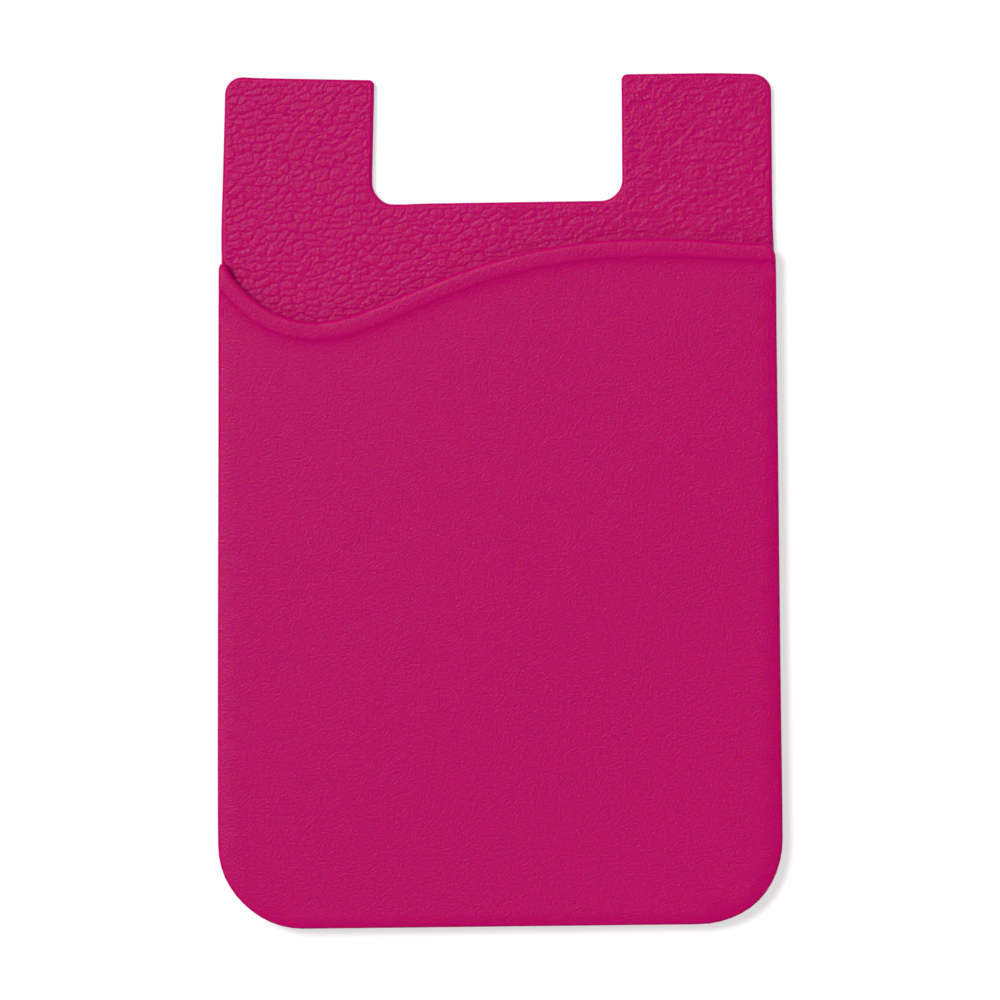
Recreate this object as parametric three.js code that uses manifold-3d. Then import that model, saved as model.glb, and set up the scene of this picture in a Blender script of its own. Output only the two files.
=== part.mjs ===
// Stick-on card holder for the back of a phone, in millimetres, +Z up.
// It lies on its back, as it comes off the sheet: liner down, pocket front up,
// thumb notch toward +Y. The origin is the middle of the underside.

import * as THREE from 'three';
import { mergeVertices } from 'three/addons/utils/BufferGeometryUtils.js';
import Module from 'manifold-3d';

// The card that the pocket is made for, and the room it gets
const CARD_WIDTH = 54;
const CARD_THICKNESS = 0.76;
const CARD_SIDE_CLEARANCE = 0.3;
const CARD_PLAY = 0.24;

// Silicone moulding
const HEIGHT = 86;
const SIDE_WALL = 1.2;
const BOTTOM_WALL = 1.2;
const BACK_THICKNESS = 1.0;
const FRONT_THICKNESS = 0.8;
const BOTTOM_CORNER_RADIUS = 8.5;
const SIDE_DRAFT = 0.41; // each side leans in by this much up to the mouth
const SIDE_DRAFT_Y = 12; // where the lean starts
const EDGE_RADIUS = 0.35;
const SLOT_EDGE_RADIUS = 0.15;

// Ears on either side of the thumb notch
const EAR_INSET = 0.12; // step in from the pocket's side
const EAR_TAPER = 0.1; // further lean of each ear's outer side
const EAR_OUTER_RADIUS = 1.9;
const EAR_INNER_RADIUS = 0.6;
const NOTCH_WIDTH = 25.48;
const NOTCH_DEPTH = 12.78;
const NOTCH_CORNER_RADIUS = 2.2;

// Mouth of the pocket: a level dip on the left, a level crest on the right of the middle.
// A reach is how far a level stretch pulls the curve, to the left and to the right.
const MOUTH_LEFT_Y = 67.6;
const MOUTH_LEFT_FALL = 1.64; // fall for each millimetre to the right, at the left end
const MOUTH_LEFT_REACH = 3.49;
const DIP = { x: -18.06, y: 60.96, reachLeft: 2.69, reachRight: 6.14 };
const CREST = { x: 14.51, y: 68.91, reachLeft: 17.54, reachRight: 6.34 };
const MOUTH_RIGHT_Y = 68.36;
const MOUTH_RIGHT_FALL = 0.04;
const MOUTH_RIGHT_REACH = 4.78;
const MOUTH_LEFT_RADIUS = 0.45; // corner where the mouth meets the left side
const MOUTH_RIGHT_RADIUS = 1.3;
const MOUTH_LEFT_CLEAR = 2; // in radii: how far in from each end the corner's arc is alone
const MOUTH_RIGHT_CLEAR = 1.1;

// Raised lip along the mouth
const LIP_WIDTH = 1.6;
const LIP_HEIGHT = 0.18;
const LIP_SHOULDER = 0.5; // width of the rounding down to the front panel

// Adhesive sheet on the back, and the paper that covers it until it is used
const ADHESIVE_THICKNESS = 0.2;
const ADHESIVE_MARGIN = 4;
const LINER_THICKNESS = 0.1;
const LINER_OVERHANG = 0.8;

// Fineness of the round stretches
const CORNER_STEPS = 12;
const MOUTH_STEPS = 24;
const EDGE_STEPS = 4;

// Heights of the layers, from the surface that the holder lies on
const ADHESIVE_Z = LINER_THICKNESS;
const BODY_Z = ADHESIVE_Z + ADHESIVE_THICKNESS;
const SLOT_Z = BODY_Z + BACK_THICKNESS;
const FRONT_Z = SLOT_Z + CARD_THICKNESS + CARD_PLAY;
const PANEL_TOP_Z = FRONT_Z + FRONT_THICKNESS;
const LIP_TOP_Z = PANEL_TOP_Z + LIP_HEIGHT;

// Half widths and the levels that the outlines share, measured up from the bottom edge
const SLOT_HALF = CARD_WIDTH / 2 + CARD_SIDE_CLEARANCE;
const BOTTOM_HALF = SLOT_HALF + SIDE_WALL;
const MOUTH_HALF = BOTTOM_HALF - SIDE_DRAFT;
const EAR_ROOT_HALF = MOUTH_HALF - EAR_INSET;
const EAR_TIP_HALF = EAR_ROOT_HALF - EAR_TAPER;
const NOTCH_FLOOR_Y = HEIGHT - NOTCH_DEPTH;
const EAR_OVERLAP = 12; // how far the ears' slab runs down inside the pocket's own back
const EAR_ROOT_Y = DIP.y - EAR_OVERLAP;
const CUT_MARGIN = 5; // how far cutting solids run past what they cut
const WELD_DISTANCE = 1e-5;

const wasm = await Module();
wasm.setup();

// A closed mesh as a solid for joining and cutting
function toSolid(geometry) {
  geometry.deleteAttribute('normal');
  geometry.deleteAttribute('uv');
  const merged = mergeVertices(geometry, WELD_DISTANCE);
  return new wasm.Manifold(new wasm.Mesh({
    numProp: 3,
    vertProperties: new Float32Array(merged.attributes.position.array),
    triVerts: new Uint32Array(merged.index.array),
  }));
}

// The solid's triangles as a geometry to show
function toGeometry(solid) {
  const mesh = solid.getMesh();
  const geometry = new THREE.BufferGeometry();
  geometry.setAttribute('position', new THREE.BufferAttribute(mesh.vertProperties, 3));
  geometry.setIndex(new THREE.BufferAttribute(mesh.triVerts, 1));
  const faceted = geometry.toNonIndexed();
  faceted.computeVertexNormals();
  return faceted;
}

// A slab of the given outline from one height to another, its edges rounded by the given amounts
function slab(shape, bottom, top, rise, inset = rise) {
  const geometry = new THREE.ExtrudeGeometry(shape, {
    depth: top - bottom - 2 * rise,
    curveSegments: CORNER_STEPS,
    bevelEnabled: rise > 0,
    bevelThickness: rise,
    bevelSize: inset,
    bevelOffset: -inset,
    bevelSegments: EDGE_STEPS,
  });
  geometry.translate(0, 0, bottom + rise);
  return geometry;
}

// A closed outline through corners, each [x, y, radius], with an arc of that radius at each
function roundedOutline(corners) {
  const points = [];
  corners.forEach(([x, y, radius], i) => {
    const corner = new THREE.Vector2(x, y);
    if (!radius) {
      points.push(corner);
      return;
    }
    const before = corners.at(i - 1);
    const after = corners[(i + 1) % corners.length];
    const back = new THREE.Vector2(before[0], before[1]).sub(corner).normalize();
    const ahead = new THREE.Vector2(after[0], after[1]).sub(corner).normalize();
    const half = Math.acos(back.dot(ahead)) / 2;
    const middle = back.clone().add(ahead).normalize();
    const centre = corner.clone().addScaledVector(middle, radius / Math.sin(half));
    const start = corner.clone().addScaledVector(back, radius / Math.tan(half)).sub(centre);
    const turn = (Math.PI - 2 * half) * Math.sign(ahead.cross(back));
    for (let step = 0; step <= CORNER_STEPS; step += 1) {
      const spoke = start.clone().rotateAround(new THREE.Vector2(), (turn * step) / CORNER_STEPS);
      points.push(centre.clone().add(spoke));
    }
  });
  return new THREE.Shape(points);
}

// The mouth's upper edge from the left side to the right side
function mouthCurve() {
  const path = new THREE.Path();
  path.moveTo(-MOUTH_HALF, MOUTH_LEFT_Y);
  path.bezierCurveTo(
    MOUTH_LEFT_REACH - MOUTH_HALF, MOUTH_LEFT_Y - MOUTH_LEFT_FALL * MOUTH_LEFT_REACH,
    DIP.x - DIP.reachLeft, DIP.y,
    DIP.x, DIP.y,
  );
  path.bezierCurveTo(
    DIP.x + DIP.reachRight, DIP.y,
    CREST.x - CREST.reachLeft, CREST.y,
    CREST.x, CREST.y,
  );
  path.bezierCurveTo(
    CREST.x + CREST.reachRight, CREST.y,
    MOUTH_HALF - MOUTH_RIGHT_REACH, MOUTH_RIGHT_Y + MOUTH_RIGHT_FALL * MOUTH_RIGHT_REACH,
    MOUTH_HALF, MOUTH_RIGHT_Y,
  );
  return path.getPoints(MOUTH_STEPS);
}

// The curve moved sideways, to its left when the offset is positive, and run on straight past its ends
function besideCurve(points, offset, overrun) {
  const last = points.length - 1;
  return points.map((point, i) => {
    const along = points[Math.min(i + 1, last)].clone().sub(points[Math.max(i - 1, 0)]).normalize();
    const moved = point.clone().add(new THREE.Vector2(-along.y, along.x).multiplyScalar(offset));
    const past = i === 0 ? -overrun : i === last ? overrun : 0;
    return moved.addScaledVector(along, past);
  });
}

// The pocket's outline: bottom corners, leaning sides and the mouth, whose ends are rounded
function pocketOutline() {
  const mouth = mouthCurve().reverse();
  const corners = mouth.map((point) => [point.x, point.y, 0]);
  corners[0][2] = MOUTH_RIGHT_RADIUS;
  corners.at(-1)[2] = MOUTH_LEFT_RADIUS;
  // the arcs take the place of the mouth's nearest points
  const arcLeft = MOUTH_LEFT_RADIUS * MOUTH_LEFT_CLEAR - MOUTH_HALF;
  const arcRight = MOUTH_HALF - MOUTH_RIGHT_RADIUS * MOUTH_RIGHT_CLEAR;
  const isEnd = (i) => i === 0 || i === corners.length - 1;
  const kept = corners.filter(([x], i) => isEnd(i) || (x > arcLeft && x < arcRight));
  return roundedOutline([
    [-BOTTOM_HALF, SIDE_DRAFT_Y, 0],
    [-BOTTOM_HALF, 0, BOTTOM_CORNER_RADIUS],
    [BOTTOM_HALF, 0, BOTTOM_CORNER_RADIUS],
    [BOTTOM_HALF, SIDE_DRAFT_Y, 0],
    ...kept,
  ]);
}

// The back panel above the pocket: two ears with the thumb notch between them
function earsOutline() {
  return roundedOutline([
    [-EAR_ROOT_HALF, EAR_ROOT_Y, 0],
    [EAR_ROOT_HALF, EAR_ROOT_Y, 0],
    [EAR_TIP_HALF, HEIGHT, EAR_OUTER_RADIUS],
    [NOTCH_WIDTH / 2, HEIGHT, EAR_INNER_RADIUS],
    [NOTCH_WIDTH / 2, NOTCH_FLOOR_Y, NOTCH_CORNER_RADIUS],
    [-NOTCH_WIDTH / 2, NOTCH_FLOOR_Y, NOTCH_CORNER_RADIUS],
    [-NOTCH_WIDTH / 2, HEIGHT, EAR_INNER_RADIUS],
    [-EAR_TIP_HALF, HEIGHT, EAR_OUTER_RADIUS],
  ]);
}

// The card slot, open past the mouth
function slotOutline() {
  const cornerRadius = BOTTOM_CORNER_RADIUS - SIDE_WALL;
  return roundedOutline([
    [-SLOT_HALF, BOTTOM_WALL, cornerRadius],
    [SLOT_HALF, BOTTOM_WALL, cornerRadius],
    [SLOT_HALF, HEIGHT + CUT_MARGIN, 0],
    [-SLOT_HALF, HEIGHT + CUT_MARGIN, 0],
  ]);
}

// The strip that the lip stands on, along the mouth
function lipStrip() {
  const mouth = mouthCurve();
  const outer = besideCurve(mouth, LIP_WIDTH, CUT_MARGIN);
  const inner = besideCurve(mouth, -LIP_WIDTH, CUT_MARGIN);
  return new THREE.Shape([...inner, ...outer.reverse()]);
}

function siliconePocket() {
  const outline = pocketOutline();
  const block = toSolid(slab(outline, BODY_Z, PANEL_TOP_Z, EDGE_RADIUS));
  const tallBlock = toSolid(slab(outline, BODY_Z, LIP_TOP_Z, EDGE_RADIUS));
  const strip = toSolid(slab(lipStrip(), FRONT_Z + LIP_HEIGHT, LIP_TOP_Z, LIP_HEIGHT, LIP_SHOULDER));
  const slot = toSolid(slab(slotOutline(), SLOT_Z, FRONT_Z, SLOT_EDGE_RADIUS));
  const ears = toSolid(slab(earsOutline(), BODY_Z, SLOT_Z, EDGE_RADIUS));
  return toGeometry(block.add(tallBlock.intersect(strip)).subtract(slot).add(ears));
}

// A rounded sheet on the back, set in from the moulding's edges by the margin
function backSheet(margin, bottom, top) {
  const half = BOTTOM_HALF - margin;
  const radius = BOTTOM_CORNER_RADIUS - margin;
  const shape = roundedOutline([
    [-half, margin, radius],
    [half, margin, radius],
    [half, NOTCH_FLOOR_Y - margin, radius],
    [-half, NOTCH_FLOOR_Y - margin, radius],
  ]);
  return slab(shape, bottom, top, 0);
}

function material(colour, roughness) {
  return new THREE.MeshStandardMaterial({ color: colour, roughness, metalness: 0 });
}

function piece(name, geometry, finish) {
  const mesh = new THREE.Mesh(geometry, finish);
  mesh.name = name;
  return mesh;
}

const holder = new THREE.Group();
holder.add(
  piece('silicone_pocket', siliconePocket(), material('#bb1764', 0.6)),
  piece('adhesive_pad', backSheet(ADHESIVE_MARGIN, ADHESIVE_Z, BODY_Z), material('#d9d9d4', 0.35)),
  piece(
    'release_liner',
    backSheet(ADHESIVE_MARGIN - LINER_OVERHANG, 0, ADHESIVE_Z),
    material('#f0ede4', 0.7),
  ),
);
holder.position.set(0, -HEIGHT / 2, 0);

export default holder;
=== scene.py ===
# %% [markdown]
# # A silicone card holder that sticks to a phone
#
# The real object is one soft moulding in magenta silicone: a grained back panel with two
# ears and a thumb notch, and a smooth front panel that makes the pocket. Its mouth runs in
# a wave and ends in a low raised lip. An adhesive sheet and its paper liner are on the back.
#
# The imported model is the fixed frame. Everything below is dressed onto it, in metres.

# %% Load the frame
import math

import bmesh
import bpy
import numpy as np
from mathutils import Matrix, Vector
from mathutils.geometry import delaunay_2d_cdt


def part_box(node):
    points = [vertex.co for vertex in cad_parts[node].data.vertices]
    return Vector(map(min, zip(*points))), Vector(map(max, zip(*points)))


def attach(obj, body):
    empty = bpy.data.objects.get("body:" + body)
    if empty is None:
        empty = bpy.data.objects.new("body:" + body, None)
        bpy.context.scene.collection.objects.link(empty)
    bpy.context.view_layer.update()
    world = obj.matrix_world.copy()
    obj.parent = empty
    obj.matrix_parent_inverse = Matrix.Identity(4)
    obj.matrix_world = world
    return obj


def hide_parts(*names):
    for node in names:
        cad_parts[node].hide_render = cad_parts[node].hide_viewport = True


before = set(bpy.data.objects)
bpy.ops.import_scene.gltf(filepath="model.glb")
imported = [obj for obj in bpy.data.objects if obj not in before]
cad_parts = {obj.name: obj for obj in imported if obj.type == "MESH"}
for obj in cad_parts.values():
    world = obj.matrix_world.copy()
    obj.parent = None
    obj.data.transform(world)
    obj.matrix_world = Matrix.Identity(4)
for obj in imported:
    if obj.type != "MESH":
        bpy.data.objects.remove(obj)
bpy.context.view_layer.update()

MM = 0.001
print("nodes:", sorted(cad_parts))

# %% [markdown]
# ## The few sizes that the finish needs
#
# The frame already holds every outline. The finish only has to know where three level
# faces lie (the back panel's front, the front panel and the lip) and how the mouth runs,
# because the grain stops under the mouth and the lip's foot softens along it. The heights
# are read from the frame's own corners, so they follow it.

# %% Levels and the mouth's wave
BACK_PANEL_THICKNESS = 1.0 * MM
LIP_HEIGHT, LIP_WIDTH, LIP_SHOULDER = 0.18 * MM, 1.6 * MM, 0.5 * MM

moulding_low, moulding_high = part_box("silicone_pocket")
LIP_Z = moulding_high.z
FRONT_Z = LIP_Z - LIP_HEIGHT
GRAIN_Z = moulding_low.z + BACK_PANEL_THICKNESS
BOTTOM_Y = moulding_low.y

# The wave's four knots, measured from the middle and the bottom, and the handles at each.
LEFT_END, DIP = MM * np.array([(-28.09, 67.6), (-18.06, 60.96)])
CREST, RIGHT_END = MM * np.array([(14.51, 68.91), (28.09, 68.36)])
LEFT_HANDLE, RIGHT_HANDLE = MM * np.array([(3.49, -5.72), (-4.78, 0.19)])
DIP_HANDLES = MM * np.array([(-2.69, 0), (6.14, 0)])
CREST_HANDLES = MM * np.array([(-17.54, 0), (6.34, 0)])
ARC_POINTS = 24


def arc(start, start_handle, end_handle, end):
    """Points of one cubic arc, as rows of x and y."""
    t = np.linspace(0, 1, ARC_POINTS)[:, None]
    return (
        (1 - t) ** 3 * start
        + 3 * (1 - t) ** 2 * t * (start + start_handle)
        + 3 * (1 - t) * t**2 * (end + end_handle)
        + t**3 * end
    )


def mouth_line():
    """The mouth's edge from left to right: down to the dip, up to the crest, and out."""
    fall = arc(LEFT_END, LEFT_HANDLE, DIP_HANDLES[0], DIP)
    rise = arc(DIP, DIP_HANDLES[1], CREST_HANDLES[0], CREST)
    out = arc(CREST, CREST_HANDLES[1], RIGHT_HANDLE, RIGHT_END)
    return np.vstack([fall, rise[1:], out[1:]]) + np.array([0, BOTTOM_Y])


MOUTH = mouth_line()
print("mouth runs from y", round(MOUTH[0, 1] / MM, 1), "to", round(MOUTH[-1, 1] / MM, 1), "mm")

# %% [markdown]
# ## Refilling a flat face
#
# A flat face in the frame is a few long triangles, which can't carry a relief. Subdividing
# them would keep their thin shapes, so the face is taken out and filled again: its rim is
# split into short edges, an even honeycomb of points is laid inside, and a constrained
# Delaunay triangulation joins both. The rim stays shared, so the moulding stays closed.

# %% Fill a flat face with even triangles
LEVEL_TOLERANCE = 0.001 * MM
RIM_CLEARANCE = 0.55  # of the honeycomb's spacing, so that no thin triangle stands on the rim
BLOCK = 2000  # points worked out at a time, which keeps the memory small
MERGE_GAP = 1e-6  # in mm


def rim_of(faces):
    """The edges that only one of the faces has, in a fixed order."""
    inside = set(faces)
    edges = {edge for face in faces for edge in face.edges}
    rim = (e for e in edges if sum(f in inside for f in e.link_faces) == 1)
    return sorted(rim, key=lambda e: e.index)


def split_long(edges, longest):
    """Cut each edge into equal parts that are no longer than the limit."""
    for edge in edges:
        parts = math.ceil(edge.calc_length() / longest)
        start = edge.verts[0]
        for left in range(parts, 1, -1):
            _, start = bmesh.utils.edge_split(edge, start, 1 / left)


def honeycomb(low, high, spacing):
    """Points of an even triangular pattern that covers a rectangle."""
    rows = np.arange(low[1], high[1], spacing * math.sqrt(3) / 2)
    columns = np.arange(low[0], high[0], spacing)
    x, y = np.meshgrid(columns, rows)
    x[1::2] += spacing / 2
    return np.column_stack([x.ravel(), y.ravel()])


def inside_rim(points, starts, ends, clearance):
    """Which points lie inside the rim's edges, and clear of them."""
    kept = np.zeros(len(points), bool)
    for first in range(0, len(points), BLOCK):
        block = points[first : first + BLOCK]
        x, y = block[:, :1], block[:, 1:]
        crosses = (starts[:, 1] > y) != (ends[:, 1] > y)
        climb = np.where(ends[:, 1] == starts[:, 1], 1.0, ends[:, 1] - starts[:, 1])
        at = starts[:, 0] + (y - starts[:, 1]) * (ends[:, 0] - starts[:, 0]) / climb
        odd = (crosses & (x < at)).sum(axis=1) % 2 == 1
        gap = (block[:, :1] - starts[:, 0]) ** 2 + (block[:, 1:] - starts[:, 1]) ** 2
        kept[first : first + BLOCK] = odd & (gap.min(axis=1) > clearance**2)
    return kept


def sides(triangle):
    return [frozenset(pair) for pair in zip(triangle, triangle[1:] + triangle[:1])]


def enclosed(triangles, rim, rim_size):
    """The triangles that can be reached from an inner point without crossing the rim."""
    walls = {frozenset(pair) for pair in rim}
    touching = {}
    for number, triangle in enumerate(triangles):
        for side in sides(triangle):
            touching.setdefault(side, []).append(number)
    waiting = [n for n, triangle in enumerate(triangles) if max(triangle) >= rim_size]
    reached = set(waiting)
    while waiting:
        for side in sides(triangles[waiting.pop()]):
            fresh = set() if side in walls else set(touching[side]) - reached
            reached |= fresh
            waiting.extend(fresh)
    return [triangles[number] for number in sorted(reached)]


def fan_out(bm, level):
    """Cut each face with a split side into triangles that meet at its corner off the level."""
    for face in [f for f in bm.faces if len(f.verts) > 3]:
        ring = list(face.verts)
        first = max(range(len(ring)), key=lambda i: abs(ring[i].co.z - level))
        ring = ring[first:] + ring[:first]
        bm.faces.remove(face)
        for near, far in zip(ring[1:-1], ring[2:]):
            bm.faces.new((ring[0], near, far))


def refill(bm, level, rim_step, layout):
    """Fill the flat face at this level again. The layout gives the points that may lie in it."""
    faces = [f for f in bm.faces if all(abs(v.co.z - level) < LEVEL_TOLERANCE for v in f.verts)]
    split_long(rim_of(faces), rim_step)
    rim = [tuple(e.verts) for e in rim_of(faces)]
    bmesh.ops.delete(bm, geom=faces, context="FACES")
    verts = sorted({v for pair in rim for v in pair}, key=lambda v: (v.co.x, v.co.y))
    place = {v: i for i, v in enumerate(verts)}
    flat = np.array([v.co.xy for v in verts])
    edges = [(place[a], place[b]) for a, b in rim]
    starts, ends = flat[[a for a, _ in edges]], flat[[b for _, b in edges]]
    points = [p[inside_rim(p, starts, ends, RIM_CLEARANCE * step)] for step, p in layout]
    inner = np.vstack(points)
    every = [Vector(p / MM) for p in np.vstack([flat, inner])]
    _, _, triangles, origins, _, _ = delaunay_2d_cdt(every, edges, [], 0, MERGE_GAP, True)
    triangles = [[origins[i][0] for i in triangle] for triangle in triangles]
    made = verts + [bm.verts.new((*point, level)) for point in inner]
    for triangle in enclosed(triangles, edges, len(verts)):
        bm.faces.new([made[i] for i in triangle])
    fan_out(bm, level)
    return made


print("ready to refill flat faces")

# %% [markdown]
# ## The leather grain
#
# The mould for the back panel was etched from leather: flat pebbles on the left, wider than
# they are high, with thin wandering grooves between them. Toward the right they turn into
# finer crossing wrinkles. It could be a bump texture, but its shadows are visible from a
# step away, so it is cut into the mesh. Each pebble belongs to a seed on a shaken grid. The
# two nearest seeds of a point give its distance to the groove, worked out in real
# millimetres so that grooves are as wide in every direction. Wrinkles are folded noise.

# %% Noise as plain formulas
# Any large numbers without a common factor do here: they only scatter neighbouring cells.
COLUMN_STIR, ROW_STIR, SEED_STIR, SPREAD_OUT = 127.1, 311.7, 74.7, 43758.5453


def shaken(column, row, seed):
    """A repeatable number from 0 to 1 for each cell of a grid."""
    value = np.sin(column * COLUMN_STIR + row * ROW_STIR + seed * SEED_STIR) * SPREAD_OUT
    return value - np.floor(value)


def drift(x, y, size, seed):
    """Smooth noise from -1 to 1 whose bumps are about this size."""
    u, v = x / size, y / size
    column, row = np.floor(u), np.floor(v)
    a, b = u - column, v - row
    a, b = a * a * (3 - 2 * a), b * b * (3 - 2 * b)
    low = shaken(column, row, seed) * (1 - a) + shaken(column + 1, row, seed) * a
    high = shaken(column, row + 1, seed) * (1 - a) + shaken(column + 1, row + 1, seed) * a
    return 2 * (low * (1 - b) + high * b) - 1


def wander(x, y, noises):
    """Sum of noises, each given by its reach and its bumps' size in mm, and its seed."""
    return sum(reach * MM * drift(x, y, size * MM, seed) for reach, size, seed in noises)


def ease(value, low, high):
    """0 below low, 1 above high, and smooth between them."""
    t = np.clip((value - low) / (high - low), 0, 1)
    return t * t * (3 - 2 * t)


print("a noise for any point, such as", round(float(drift(2.5, 0.5, 1.0, 1)), 3))

# %% Pebbles on the left
SEED_SHAKE = 0.78
LABEL_STEPS = 97, 89
PEBBLE_WIDTH, PEBBLE_HEIGHT = 1.50 * MM, 0.84 * MM
FINE_WIDTH, FINE_HEIGHT = 0.85 * MM, 0.50 * MM
FINE_STRETCH, FINE_SHIFT = 1.02, 3.3 * MM
GROOVE_WIDTH, SECOND_GROOVE_WIDTH = 0.085 * MM, 0.068 * MM
DOME_REACH = 0.16 * MM
LUMP_SIZE = 0.20 * MM
STRENGTH_SIZE, STRENGTH_RANGE = 1.3 * MM, (-0.8, 0.0)
WEAKEST_CUT, SECOND_CUT_LOSS = 0.35, 0.5
GRAIN_RISE = 0.10
GRAIN_DEPTH = 0.060 * MM
DOME_PART, CUT_PART, SECOND_CUT_PART, STEP_PART, LUMP_PART = 0.35, 0.65, 0.22, 0.12, 0.12
PEBBLE_TILT = 0.026
PEBBLE_WARP_X = (0.45, 2.3, 3), (0.22, 0.75, 4), (0.17, 0.36, 9)
PEBBLE_WARP_Y = (0.34, 2.1, 5), (0.15, 0.7, 6), (0.14, 0.38, 10)


def pebbles(x, y, width, height, seed):
    """For each point the distance to its groove, its pebble's number and how far up it lies."""
    u, v = x / width, y / height
    column, row = np.floor(u), np.floor(v)
    best = [np.full(x.shape, np.inf), 0 * x, 0 * x]
    second = [np.full(x.shape, np.inf), 0 * x, 0 * x]
    for across in (-2, -1, 0, 1, 2):
        for up in (-1, 0, 1):
            i, j = column + across, row + up
            seed_u = i + 0.5 + 0.5 * (j % 2) + SEED_SHAKE * (shaken(i, j, seed) - 0.5)
            seed_v = j + 0.5 + SEED_SHAKE * (shaken(i, j, seed + 1) - 0.5)
            gap = (u - seed_u) ** 2 + (v - seed_v) ** 2
            nearer, next_one = gap < best[0], (gap >= best[0]) & (gap < second[0])
            new = (gap, seed_u, seed_v)
            kept = [np.where(next_one, n, s) for n, s in zip(new, second)]
            second = [np.where(nearer, b, k) for b, k in zip(best, kept)]
            best = [np.where(nearer, n, b) for n, b in zip(new, best)]
    between_u, between_v = (second[1] - best[1]) / width, (second[2] - best[2]) / height
    groove = (second[0] - best[0]) / 2 / np.hypot(between_u, between_v)
    labels = [np.round(best[k + 1] * LABEL_STEPS[k]) for k in (0, 1)]
    return groove, shaken(*labels, seed + 2), (y / height - best[2]) * height


def pebble_height(x, y):
    """Domed and slightly tilted pebbles with a groove around each, and finer ones on them."""
    px = x + wander(x, y, PEBBLE_WARP_X)
    py = y - GRAIN_RISE * x + wander(x, y, PEBBLE_WARP_Y)
    coarse, number, up = pebbles(px, py, PEBBLE_WIDTH, PEBBLE_HEIGHT, 11)
    fine, _, _ = pebbles(px * FINE_STRETCH + FINE_SHIFT, py, FINE_WIDTH, FINE_HEIGHT, 23)
    strength = ease(drift(x, y, STRENGTH_SIZE, 7), *STRENGTH_RANGE)
    cut = np.exp(-((coarse / GROOVE_WIDTH) ** 2)) * (WEAKEST_CUT + (1 - WEAKEST_CUT) * strength)
    second_cut = np.exp(-((fine / SECOND_GROOVE_WIDTH) ** 2)) * (1 - SECOND_CUT_LOSS * strength)
    dome = 1 - np.exp(-coarse / DOME_REACH)
    height = DOME_PART * dome - CUT_PART * cut - SECOND_CUT_PART * second_cut
    height += STEP_PART * (number - 0.5) + LUMP_PART * drift(x, y, LUMP_SIZE, 8)
    return GRAIN_DEPTH * height - PEBBLE_TILT * up


print("pebbles of", round(PEBBLE_WIDTH / MM, 2), "by", round(PEBBLE_HEIGHT / MM, 2), "mm")

# %% Wrinkles on the right
WRINKLE_DEPTH = 0.064 * MM
WRINKLE_WARP_X = (0.26, 0.8, 31), (0.11, 0.28, 32)
WRINKLE_WARP_Y = (0.22, 0.7, 33), (0.10, 0.25, 34)
BROAD_SQUEEZE, BROAD_SIZE, BROAD_PART = 0.55, 0.56 * MM, 0.60
NARROW_SQUEEZE, NARROW_SIZE, NARROW_LEAST, NARROW_MORE = 0.7, 0.32 * MM, 0.20, 0.35
PATCH_SIZE, PATCH_RANGE = 2.6 * MM, (-0.7, 0.5)
MIDDLE_LEVEL = 0.45
WRINKLE_SPAN = -4 * MM, 16 * MM
PEBBLE_LOSS, WRINKLE_LEAST = 0.65, 0.25


def wrinkles(x, y):
    """Fine crossing ridges, longer than they are high, from two folded noises."""
    px = x + wander(x, y, WRINKLE_WARP_X)
    py = y - GRAIN_RISE * x + wander(x, y, WRINKLE_WARP_Y)
    broad = 1 - np.abs(drift(BROAD_SQUEEZE * px, py, BROAD_SIZE, 35))
    narrow = 1 - np.abs(drift(NARROW_SQUEEZE * px, py, NARROW_SIZE, 36))
    patch = ease(drift(x, y, PATCH_SIZE, 37), *PATCH_RANGE)
    return BROAD_PART * broad**2 + (NARROW_LEAST + NARROW_MORE * patch) * narrow**2 - MIDDLE_LEVEL


def grain_height(x, y):
    """Height of the grain over the panel's face: pebbles that turn into wrinkles."""
    right = ease(x, *WRINKLE_SPAN)
    ridges = WRINKLE_DEPTH * wrinkles(x, y) * (WRINKLE_LEAST + (1 - WRINKLE_LEAST) * right)
    return pebble_height(x, y) * (1 - PEBBLE_LOSS * right) + ridges


print("wrinkles grow from x", WRINKLE_SPAN[0] / MM, "to", WRINKLE_SPAN[1] / MM, "mm")

# %% [markdown]
# ## The moulding
#
# The visible moulding starts as a copy of the frame's solid, so it keeps the true outline,
# walls, slot and lip. Three faces are filled again with points where detail goes: fine ones
# for the grain, a medium band along the lip's foot, and wide ones where nothing happens.
# Cuts across the whole solid give its long walls enough points to bend as well. Then each
# point moves by a formula of its own place, which can't open a seam.

# %% Copy the solid and refill its faces
GRAIN_STEP = 0.114 * MM
LIP_STEP = 0.16 * MM
WIDE_STEP = 1.6 * MM
GRAIN_TUCK = 1.2 * MM
FOOT_BAND, FOOT_CLEAR = 1.5 * MM, 2.2 * MM
WELD = 1e-7
CUT_STEP = 1.5
ROW_CUTS = BOTTOM_Y + np.arange(18.0, 85.0, CUT_STEP) * MM
LEFT_CUTS, RIGHT_CUTS = np.arange(-26.0, -6.0, CUT_STEP), np.arange(6.5, 27.0, CUT_STEP)
COLUMN_CUTS = np.concatenate([LEFT_CUTS, RIGHT_CUTS]) * MM


def mouth_gap(points):
    """Signed distance from each point to the mouth's edge, positive on the pocket's side."""
    gap = np.full(len(points), np.inf)
    side = np.ones(len(points))
    for start, end in zip(MOUTH[:-1], MOUTH[1:]):
        run = end - start
        along = np.clip(((points - start) @ run) / (run @ run), 0, 1)
        away = points - (start + along[:, None] * run)
        near = np.hypot(*away.T)
        below = run[1] * away[:, 0] - run[0] * away[:, 1]
        side = np.where(near < gap, np.sign(below), side)
        gap = np.minimum(near, gap)
    return gap * side


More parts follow.
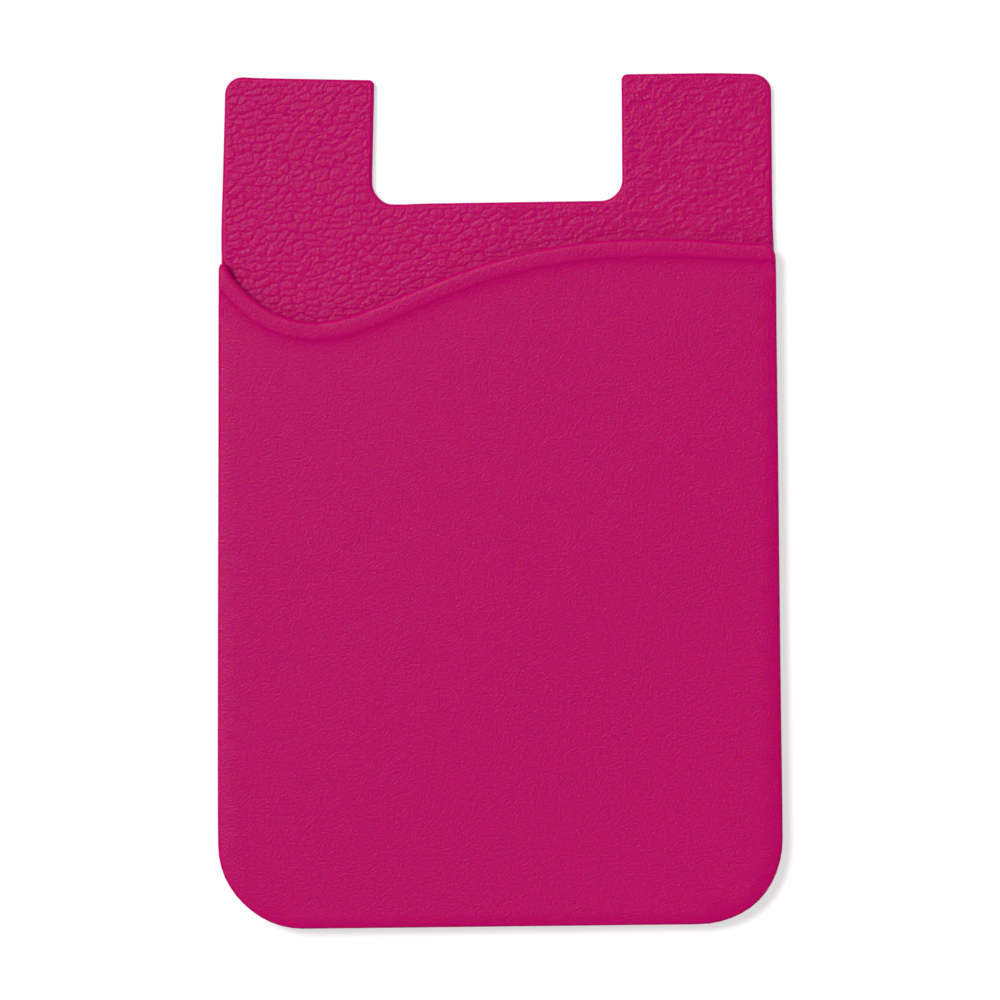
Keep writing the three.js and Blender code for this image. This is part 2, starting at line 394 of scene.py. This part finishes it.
def spread(step, keep):
    """A honeycomb over the whole moulding, thinned to the points that the rule keeps."""
    points = honeycomb(moulding_low.xy, moulding_high.xy, step)
    return step, points[keep(mouth_gap(points))]


bm = bmesh.new()
bm.from_mesh(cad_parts["silicone_pocket"].data)
bmesh.ops.remove_doubles(bm, verts=bm.verts, dist=WELD)
for way, places in (((0, 1, 0), ROW_CUTS), ((1, 0, 0), COLUMN_CUTS)):
    for place in places:
        everything = bm.verts[:] + bm.edges[:] + bm.faces[:]
        point = place * Vector(way)
        bmesh.ops.bisect_plane(bm, geom=everything, plane_co=point, plane_no=way, dist=WELD)
grain_layout = [
    spread(GRAIN_STEP, lambda gap: gap < GRAIN_TUCK),
    spread(WIDE_STEP, lambda gap: gap > GRAIN_TUCK + WIDE_STEP / 2),
]
panel_layout = [
    spread(LIP_STEP, lambda gap: (gap > LIP_WIDTH) & (gap < LIP_WIDTH + FOOT_BAND)),
    spread(WIDE_STEP, lambda gap: gap > LIP_WIDTH + FOOT_CLEAR),
]
lip_layout = [spread(2 * LIP_STEP, lambda gap: gap < LIP_WIDTH)]
back_panel_points = refill(bm, GRAIN_Z, 2 * GRAIN_STEP, grain_layout)
refill(bm, FRONT_Z, 2 * LIP_STEP, panel_layout)
refill(bm, LIP_Z, 2 * LIP_STEP, lip_layout)
print("moulding:", len(bm.faces), "triangles")

# %% [markdown]
# The grain fades out at the rim of the panel, where the mould's edge was left smooth, and
# under the mouth. Silicone is soft, so nothing stands quite straight: the left ear leans to
# the right from its root up, the mouth's sides sit a little to the right of the bottom's,
# the mouth's edge stands a little higher, and the whole outline is slightly skewed. A few
# corners are fuller or rounder than drawn, and the lip's left end runs out in a small peak
# against the ear. A lattice could bend it as well, but a formula for each bend is easier to
# read and to change.

# %% Move the points: grain, lip and ears
RIM_FADE = 0.35 * MM
EAR_LEAN = math.radians(-1.89)
EAR_ROOT = np.array([-20 * MM, BOTTOM_Y + 70 * MM])
EAR_BEND, EAR_INNER_SIDE = (67 * MM, 75 * MM), (7 * MM, 14 * MM)
MOUTH_SHIFT, EAR_SHIFT = 0.12 * MM, 0.09 * MM
MOUTH_SHIFT_SPAN, EAR_SHIFT_SPAN = (14 * MM, 62 * MM), (64 * MM, 72 * MM)
MOUTH_RISE, MOUTH_RISE_REACH = 0.44 * MM, 1.4 * MM
RISE_LOSS, RISE_LOSS_SPAN = 0.6, (16 * MM, 30 * MM)
SIDE_SPREAD, SIDE_SPREAD_END = 0.0022, (62 * MM, 68 * MM)
SKEW = 0.0055
# Each push has its middle's x and height up, its move in x and y, and its reach, all in mm.
PUSHES = MM * np.array([
    (-28.0, 66.8, 0.0, 0.51, 0.9),
    (28.0, 66.5, 0.09, 0.0, 3.5),
    (27.2, 68.3, 0.05, 0.18, 0.8),
    (-12.4, 73.9, 0.14, 0.12, 1.3),
    (-11.0, 73.4, 0.0, 0.10, 1.2),
    (-27.3, 85.3, -0.03, 0.12, 1.6),
    (26.2, 85.6, 0.0, -0.14, 2.6),
    (-26.3, 2.2, 0.03, 0.12, 4.0),
    (26.3, 2.2, 0.08, -0.13, 3.5),
])
FOOT_RISE, FOOT_REACH = 0.09 * MM, 0.45 * MM
LIP_CROWN, CROWN_TOP = 0.03 * MM, 0.45
SHARP_ANGLE = math.radians(50)


def rim_gap(points, rim):
    """Distance of each point to the nearest rim point."""
    blocks = [points[i : i + BLOCK, None] - rim[None] for i in range(0, len(points), BLOCK)]
    return np.concatenate([np.sqrt((block**2).sum(axis=2).min(axis=1)) for block in blocks])


def on_rim(vert):
    """Whether a point of the face has a neighbour off it."""
    others = (edge.other_vert(vert) for edge in vert.link_edges)
    return any(abs(other.co.z - GRAIN_Z) > LEVEL_TOLERANCE for other in others)


def grain_lift(made):
    """How far the grain lifts or sinks each point of the back panel's face."""
    rim = np.array([v.co.xy for v in made if on_rim(v)])
    points = np.array([v.co.xy for v in made])
    fade = ease(rim_gap(points, rim), 0, RIM_FADE)
    fade *= 1 - ease(mouth_gap(points), 0.5 * GRAIN_TUCK, GRAIN_TUCK)
    lift = grain_height(points[:, 0], points[:, 1]) * fade
    print("grain from", round(lift.min() / MM, 3), "to", round(lift.max() / MM, 3), "mm")
    return lift


def lip_lift(verts):
    """The lip is slightly crowned, and the front panel sweeps up a little to its foot."""
    gap = mouth_gap(np.array([v.co.xy for v in verts]))
    flat = LIP_WIDTH - LIP_SHOULDER
    down = 1 - np.sqrt(1 - np.clip((gap - flat) / LIP_SHOULDER, 0, 1) ** 2)
    foot = FOOT_RISE * np.exp(-np.maximum(gap - LIP_WIDTH, 0) / FOOT_REACH)
    crown = -LIP_CROWN * (np.clip(gap / flat, 0, 1) - CROWN_TOP) ** 2
    return foot * down + crown * (1 - down)


def relax(verts):
    """Lean the left ear, shift and raise the mouth, skew the outline and push a few places."""
    x, y = np.array([v.co.xy for v in verts]).T
    up = y - BOTTOM_Y
    lean = EAR_LEAN * ease(up, *EAR_BEND) * ease(-x, *EAR_INNER_SIDE)
    move_x = -lean * (y - EAR_ROOT[1])
    move_y = lean * (x - EAR_ROOT[0])
    move_x += MOUTH_SHIFT * ease(up, *MOUTH_SHIFT_SPAN)
    move_x -= (MOUTH_SHIFT - EAR_SHIFT) * ease(up, *EAR_SHIFT_SPAN)
    move_x += SIDE_SPREAD * x * (1 - ease(up, *SIDE_SPREAD_END))
    move_y += SKEW * x
    soft = np.exp(-np.abs(mouth_gap(np.column_stack([x, y]))) / MOUTH_RISE_REACH)
    move_y += MOUTH_RISE * soft * (1 - RISE_LOSS * ease(x, *RISE_LOSS_SPAN))
    for place_x, place_up, push_x, push_y, reach in PUSHES:
        near = np.exp(-((x - place_x) ** 2 + (up - place_up) ** 2) / reach**2)
        move_x, move_y = move_x + push_x * near, move_y + push_y * near
    return move_x, move_y


for vert, lift in zip(back_panel_points, grain_lift(back_panel_points)):
    vert.co.z += lift
top_skin = [v for v in bm.verts if v.co.z > FRONT_Z - LEVEL_TOLERANCE]
for vert, lift in zip(top_skin, lip_lift(top_skin)):
    vert.co.z += lift
every_vert = list(bm.verts)
for vert, move_x, move_y in zip(every_vert, *relax(every_vert)):
    vert.co.x += move_x
    vert.co.y += move_y
moulding_mesh = bpy.data.meshes.new("moulding")
bm.normal_update()
bm.to_mesh(moulding_mesh)
bm.free()
moulding_mesh.shade_smooth()
moulding_mesh.set_sharp_from_angle(angle=SHARP_ANGLE)
moulding = bpy.data.objects.new("moulding", moulding_mesh)
bpy.context.scene.collection.objects.link(moulding)
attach(moulding, "root")
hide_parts("silicone_pocket")
print("moulding rides on root and stands for silicone_pocket")

# %% [markdown]
# ## Shared finish: a fine matt skin
#
# Moulded silicone, adhesive film and glassine paper all share one thing at close range: a
# very fine unevenness that keeps them from looking like plastic foil. It is one node
# group with its own scale and strength in each material. It puts out a colour, a roughness
# and a height, and each material feeds them to its own shader. The silicone is also a
# little milky, so that light spreads inside it and softens the relief.

# %% The matt skin group
SPECK_SHARE = 0.6
CLOUD_DETAIL, SPECK_DETAIL = 3, 2


def group_socket(group, name, way, kind, value=None):
    made = group.interface.new_socket(name=name, in_out=way, socket_type=kind)
    if value is not None:
        made.default_value = value


def matt_skin_group():
    group = bpy.data.node_groups.new("Matt skin", "ShaderNodeTree")
    group_socket(group, "Light tone", "INPUT", "NodeSocketColor", (0.8, 0.8, 0.8, 1))
    group_socket(group, "Deep tone", "INPUT", "NodeSocketColor", (0.7, 0.7, 0.7, 1))
    group_socket(group, "Cloud scale", "INPUT", "NodeSocketFloat", 60.0)
    group_socket(group, "Speck scale", "INPUT", "NodeSocketFloat", 4000.0)
    group_socket(group, "Smoothest", "INPUT", "NodeSocketFloat", 0.5)
    group_socket(group, "Roughest", "INPUT", "NodeSocketFloat", 0.6)
    group_socket(group, "Color", "OUTPUT", "NodeSocketColor")
    group_socket(group, "Roughness", "OUTPUT", "NodeSocketFloat")
    group_socket(group, "Height", "OUTPUT", "NodeSocketFloat")
    nodes, links = group.nodes, group.links
    given, out = nodes.new("NodeGroupInput"), nodes.new("NodeGroupOutput")
    place = nodes.new("ShaderNodeTexCoord")
    cloud, speck = nodes.new("ShaderNodeTexNoise"), nodes.new("ShaderNodeTexNoise")
    cloud.inputs["Detail"].default_value = CLOUD_DETAIL
    speck.inputs["Detail"].default_value = SPECK_DETAIL
    blend = nodes.new("ShaderNodeMix")
    blend.data_type = "RGBA"
    weigh = nodes.new("ShaderNodeMath")
    weigh.operation = "MULTIPLY_ADD"
    weigh.inputs[1].default_value = SPECK_SHARE
    rough = nodes.new("ShaderNodeMapRange")
    for noise, scale in ((cloud, "Cloud scale"), (speck, "Speck scale")):
        links.new(place.outputs["Object"], noise.inputs["Vector"])
        links.new(given.outputs[scale], noise.inputs["Scale"])
    shrink = nodes.new("ShaderNodeMath")
    shrink.operation = "MULTIPLY"
    shrink.inputs[1].default_value = 1 - SPECK_SHARE
    links.new(cloud.outputs["Fac"], shrink.inputs[0])
    links.new(speck.outputs["Fac"], weigh.inputs[0])
    links.new(shrink.outputs["Value"], weigh.inputs[2])
    links.new(weigh.outputs["Value"], blend.inputs["Factor"])
    links.new(given.outputs["Light tone"], blend.inputs["A"])
    links.new(given.outputs["Deep tone"], blend.inputs["B"])
    links.new(speck.outputs["Fac"], rough.inputs["Value"])
    links.new(given.outputs["Smoothest"], rough.inputs["To Min"])
    links.new(given.outputs["Roughest"], rough.inputs["To Max"])
    links.new(blend.outputs["Result"], out.inputs["Color"])
    links.new(rough.outputs["Result"], out.inputs["Roughness"])
    links.new(speck.outputs["Fac"], out.inputs["Height"])
    return group


MATT_SKIN = matt_skin_group()
print("group", MATT_SKIN.name, "with", len(MATT_SKIN.nodes), "nodes")

# %% Materials that use it
def skinned_material(name, light, deep, cloud, speck, rough, gloss, bump):
    """A matt material from its tones, noise scales, roughness range, gloss and bump height."""
    material = bpy.data.materials.new(name)
    material.use_nodes = True
    nodes, links = material.node_tree.nodes, material.node_tree.links
    shader = nodes["Principled BSDF"]
    shader.inputs["Specular IOR Level"].default_value = gloss
    skin = nodes.new("ShaderNodeGroup")
    skin.node_tree = MATT_SKIN
    skin.inputs["Light tone"].default_value = (*light, 1)
    skin.inputs["Deep tone"].default_value = (*deep, 1)
    skin.inputs["Cloud scale"].default_value = cloud
    skin.inputs["Speck scale"].default_value = speck
    skin.inputs["Smoothest"].default_value, skin.inputs["Roughest"].default_value = rough
    relief = nodes.new("ShaderNodeBump")
    relief.inputs["Distance"].default_value = bump
    links.new(skin.outputs["Color"], shader.inputs["Base Color"])
    links.new(skin.outputs["Roughness"], shader.inputs["Roughness"])
    links.new(skin.outputs["Height"], relief.inputs["Height"])
    links.new(relief.outputs["Normal"], shader.inputs["Normal"])
    return material


MILKY_DEPTH, MILKY_REACH = 0.8 * MM, (1.0, 0.25, 0.4)
silicone = skinned_material(
    "magenta silicone",
    light=(0.52, 0.0006, 0.146),
    deep=(0.49, 0.0004, 0.135),
    cloud=90,
    speck=4500,
    rough=(0.26, 0.35),
    gloss=0.066,
    bump=0.050 * MM,
)
adhesive = skinned_material(
    "adhesive film",
    light=(0.74, 0.73, 0.68),
    deep=(0.66, 0.65, 0.60),
    cloud=120,
    speck=2500,
    rough=(0.22, 0.36),
    gloss=0.5,
    bump=0.003 * MM,
)
liner_paper = skinned_material(
    "glassine liner",
    light=(0.90, 0.87, 0.79),
    deep=(0.84, 0.81, 0.73),
    cloud=200,
    speck=1800,
    rough=(0.55, 0.75),
    gloss=0.4,
    bump=0.006 * MM,
)
milky = silicone.node_tree.nodes["Principled BSDF"].inputs
milky["Subsurface Weight"].default_value = 1.0
milky["Subsurface Radius"].default_value = MILKY_REACH
milky["Subsurface Scale"].default_value = MILKY_DEPTH
moulding_mesh.materials.clear()
moulding_mesh.materials.append(silicone)
for node, material in (("adhesive_pad", adhesive), ("release_liner", liner_paper)):
    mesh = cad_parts[node].data
    mesh.materials.clear()
    mesh.materials.append(material)
print("materials:", silicone.name, adhesive.name, liner_paper.name)

# %% [markdown]
# ## Floor, light and camera
#
# The photograph is a cut-out on white, taken from straight above. Its relief hardly shades
# the silicone's own red, but its faint gloss draws the grain. Light from close to the
# camera does that, so one soft key lamp stands a little past the left ear, just off the
# camera's mirror direction. The sky is brightest halfway up and dark overhead, where its
# reflection would wash out the colour. The floor is whiter to the camera than to the light
# that bounces off it, so it doesn't brighten the moulding's edges.

# %% Floor
FLOOR_HALF = 3.0
FLOOR_DROP = -0.02 * MM
FLOOR_SEEN, FLOOR_GLOW = 0.46, 0.60
FLOOR_BOUNCE, FLOOR_ROUGHNESS = 0.55, 0.9


def pale_floor():
    """A level sheet that is white to the camera and pale grey to the light that it bounces."""
    mesh = bpy.data.meshes.new("floor")
    half = FLOOR_HALF
    corners = [(-half, -half, 0), (half, -half, 0), (half, half, 0), (-half, half, 0)]
    mesh.from_pydata(corners, [], [(0, 1, 2, 3)])
    floor = bpy.data.objects.new("floor", mesh)
    floor.location.z = FLOOR_DROP
    bpy.context.scene.collection.objects.link(floor)
    material = bpy.data.materials.new("pale floor")
    material.use_nodes = True
    nodes, links = material.node_tree.nodes, material.node_tree.links
    shader = nodes["Principled BSDF"]
    shader.inputs["Roughness"].default_value = FLOOR_ROUGHNESS
    shader.inputs["Specular IOR Level"].default_value = 0.0
    path = nodes.new("ShaderNodeLightPath")
    seen = path.outputs["Is Camera Ray"]
    for ray in ("Is Glossy Ray", "Is Transmission Ray"):
        either = nodes.new("ShaderNodeMath")
        either.operation = "MAXIMUM"
        links.new(seen, either.inputs[0])
        links.new(path.outputs[ray], either.inputs[1])
        seen = either.outputs["Value"]
    tones = ("Base Color", FLOOR_BOUNCE, FLOOR_SEEN), ("Emission Color", 0.0, FLOOR_GLOW)
    for socket, unseen, shown in tones:
        tone = nodes.new("ShaderNodeMix")
        tone.data_type = "RGBA"
        tone.inputs["A"].default_value = (unseen, unseen, unseen, 1)
        tone.inputs["B"].default_value = (shown, shown, shown, 1)
        links.new(seen, tone.inputs["Factor"])
        links.new(tone.outputs["Result"], shader.inputs[socket])
    shader.inputs["Emission Strength"].default_value = 1.0
    mesh.materials.append(material)


pale_floor()
print("floor", round(-FLOOR_DROP / MM, 2), "mm under the part, bouncing a share of", FLOOR_BOUNCE)

# %% Lamp and sky
SKY_LEVEL = 0.50
KEY_PLACE, KEY_SIZE, KEY_POWER = (-1.00, 0.88, 3.25), 1.0, 97.0


def lamp(name, place, width, power):
    """A round soft lamp that points at the part."""
    light = bpy.data.lights.new(name, "AREA")
    light.shape = "DISK"
    light.size = width
    light.energy = power
    holder = bpy.data.objects.new(name, light)
    holder.location = place
    holder.rotation_euler = (-Vector(place)).to_track_quat("-Z", "Y").to_euler()
    bpy.context.scene.collection.objects.link(holder)


def soft_sky(level):
    """A white sky that is brightest between the horizon and overhead, and dark at both."""
    world = bpy.data.worlds.new("sky")
    world.use_nodes = True
    nodes, links = world.node_tree.nodes, world.node_tree.links
    place, split = nodes.new("ShaderNodeTexCoord"), nodes.new("ShaderNodeSeparateXYZ")
    square, rest, ring = (nodes.new("ShaderNodeMath") for _ in range(3))
    square.operation, rest.operation, ring.operation = "MULTIPLY", "SUBTRACT", "MULTIPLY"
    strength = nodes.new("ShaderNodeMath")
    strength.operation = "MULTIPLY"
    strength.inputs[1].default_value = 4 * level  # because the ring's own peak is 1 / 4
    rest.inputs[0].default_value = 1.0
    links.new(place.outputs["Generated"], split.inputs["Vector"])
    links.new(split.outputs["Z"], square.inputs[0])
    links.new(split.outputs["Z"], square.inputs[1])
    links.new(square.outputs["Value"], rest.inputs[1])
    links.new(square.outputs["Value"], ring.inputs[0])
    links.new(rest.outputs["Value"], ring.inputs[1])
    links.new(ring.outputs["Value"], strength.inputs[0])
    links.new(strength.outputs["Value"], nodes["Background"].inputs["Strength"])
    nodes["Background"].inputs["Color"].default_value = (1, 1, 1, 1)
    bpy.context.scene.world = world


lamp("key", KEY_PLACE, KEY_SIZE, KEY_POWER)
soft_sky(SKY_LEVEL)
print("key lamp of", KEY_POWER, "W at", KEY_PLACE, "m, sky of", SKY_LEVEL)

# %% Camera
SENSOR_WIDTH, LENS = 36.0, 355.6
CAMERA_PLACE = 34.71 * MM, 16.76 * MM, 1000 * MM
CAMERA_TURNS = -0.97, 1.97, -0.46
camera_data = bpy.data.cameras.new("camera")
camera_data.sensor_width, camera_data.lens = SENSOR_WIDTH, LENS
camera = bpy.data.objects.new("camera", camera_data)
camera.location = CAMERA_PLACE
camera.rotation_euler = [math.radians(turn) for turn in CAMERA_TURNS]
bpy.context.scene.collection.objects.link(camera)
bpy.context.scene.camera = camera
bpy.context.scene.view_settings.view_transform = "Standard"
print("camera with a", LENS, "mm lens,", round(CAMERA_PLACE[2] / MM), "mm above the floor")
